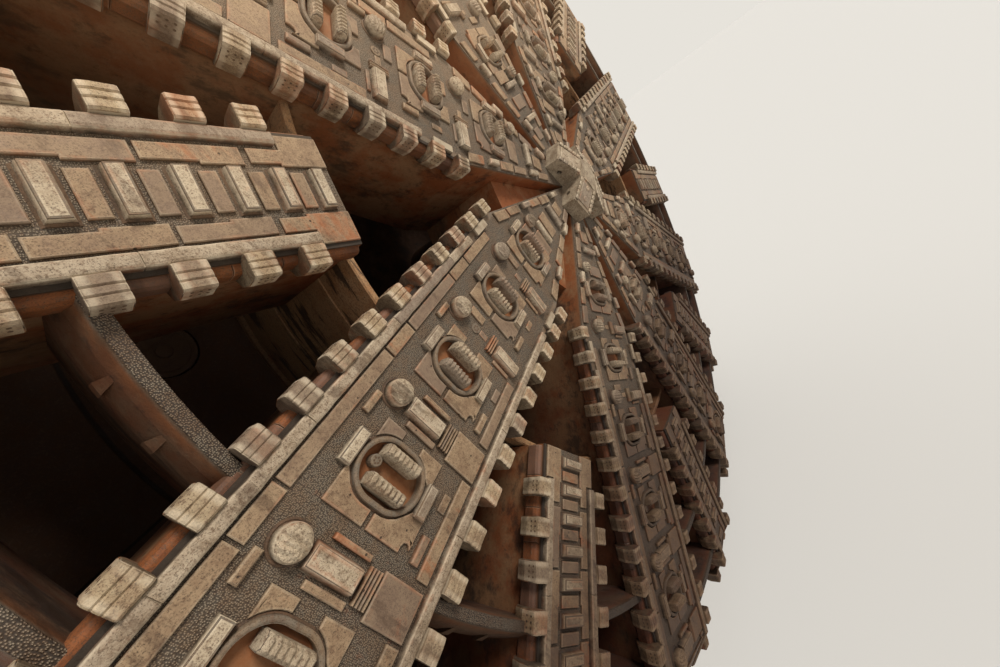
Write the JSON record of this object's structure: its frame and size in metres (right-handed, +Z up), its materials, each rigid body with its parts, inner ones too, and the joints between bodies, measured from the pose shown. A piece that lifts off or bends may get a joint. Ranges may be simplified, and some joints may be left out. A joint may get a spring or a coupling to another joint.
{
  "type": "tunnel boring machine",
  "caption": "Full-face earth pressure shield machine: spoked cutterhead with ripper and scraper tools, drive, shield, thrust rams, screw conveyor and segment erector on its launch cradle.",
  "frame": {"origin": "middle of the launch cradle's underside, on the floor", "axes": "+Y along the drive from the face to the tail, +Z up, +X to the right for someone who looks at the face"},
  "size_m": [17.2776, 14.0641, 18.0388],
  "materials": {
    "head_steel": "dusty hardfaced steel",
    "rusty_steel": "rusty",
    "machined_steel": "machined",
    "tool_steel": "worn",
    "shield_paint": "satin",
    "housing_paint": "satin",
    "motor_paint": "satin",
    "ram_paint": "satin",
    "rod_chrome": "polished",
    "shoe_steel": "satin",
    "gate_paint": "satin",
    "frame_paint": "satin",
    "erector_paint": "satin",
    "gripper_paint": "satin",
    "concrete": "rough concrete",
    "rail_steel": "worn"
  },
  "bodies": {
    "shield": {"front_shield": "shield_paint", "bulkhead": "shield_paint", "bearing_housing": "housing_paint", "drive_motors": "motor_paint", "tail_shield": "shield_paint", "ram_plate": "shield_paint", "ram_barrels": "ram_paint", "screw_casing": "housing_paint", "screw_drive": "motor_paint", "deck_girders": "frame_paint", "tow_lugs": "frame_paint", "erector_track": "housing_paint", "air_locks": "shield_paint", "cradle_base": "concrete", "cradle_rails": "rail_steel"},
    "cutterhead": {"hub": "head_steel", "centre_shaft": "machined_steel", "centre_bit": "tool_steel", "main_arm_1": "head_steel", "main_arm_2": "head_steel", "main_arm_3": "head_steel", "main_arm_4": "head_steel", "main_arm_5": "head_steel", "main_arm_6": "head_steel", "main_arm_7": "head_steel", "main_arm_8": "head_steel", "short_arm_1": "head_steel", "short_arm_2": "head_steel", "short_arm_3": "head_steel", "short_arm_4": "head_steel", "short_arm_5": "head_steel", "short_arm_6": "head_steel", "short_arm_7": "head_steel", "short_arm_8": "head_steel", "middle_ring": "rusty_steel", "outer_ring": "rusty_steel", "rim_band": "rusty_steel", "head_legs": "rusty_steel", "drive_ring": "machined_steel", "mixing_bars": "rusty_steel"},
    "overcut": {"overcut_tool": "tool_steel"},
    "rams": {"ram_rods": "rod_chrome", "ram_shoes": "shoe_steel"},
    "auger": {"screw_auger": "machined_steel"},
    "gate": {"screw_gate": "gate_paint"},
    "erector": {"erector_ring": "erector_paint", "erector_arm": "erector_paint"},
    "gripper": {"erector_gripper": "gripper_paint"}
  },
  "joints": [
    {"name": "cutterhead_spin", "type": "hinge", "parent": "shield", "child": "cutterhead", "pos_m": [0, -7.46, 9.4], "axis": [0, 1, 0], "continuous": true},
    {"name": "overcut_slide", "type": "slide", "parent": "cutterhead", "child": "overcut", "axis": [0.6543, 0, 0.7562], "range_m": [0, 0.12]},
    {"name": "thrust_slide", "type": "slide", "parent": "shield", "child": "rams", "axis": [0, 1, 0], "range_m": [0, 2.1]},
    {"name": "auger_spin", "type": "hinge", "parent": "shield", "child": "auger", "pos_m": [0, -2.97, 3.54], "axis": [0, 0.8988, 0.4384], "continuous": true},
    {"name": "gate_slide", "type": "slide", "parent": "shield", "child": "gate", "axis": [0, -0.8988, -0.4384], "range_m": [0, 0.9]},
    {"name": "erector_turn", "type": "hinge", "parent": "shield", "child": "erector", "pos_m": [0, 1.8, 9.4], "axis": [0, 1, 0], "range_deg": [-200, 200]},
    {"name": "gripper_slide", "type": "slide", "parent": "erector", "child": "gripper", "axis": [0, 0, 1], "range_m": [0, 0.8]}
  ]
}
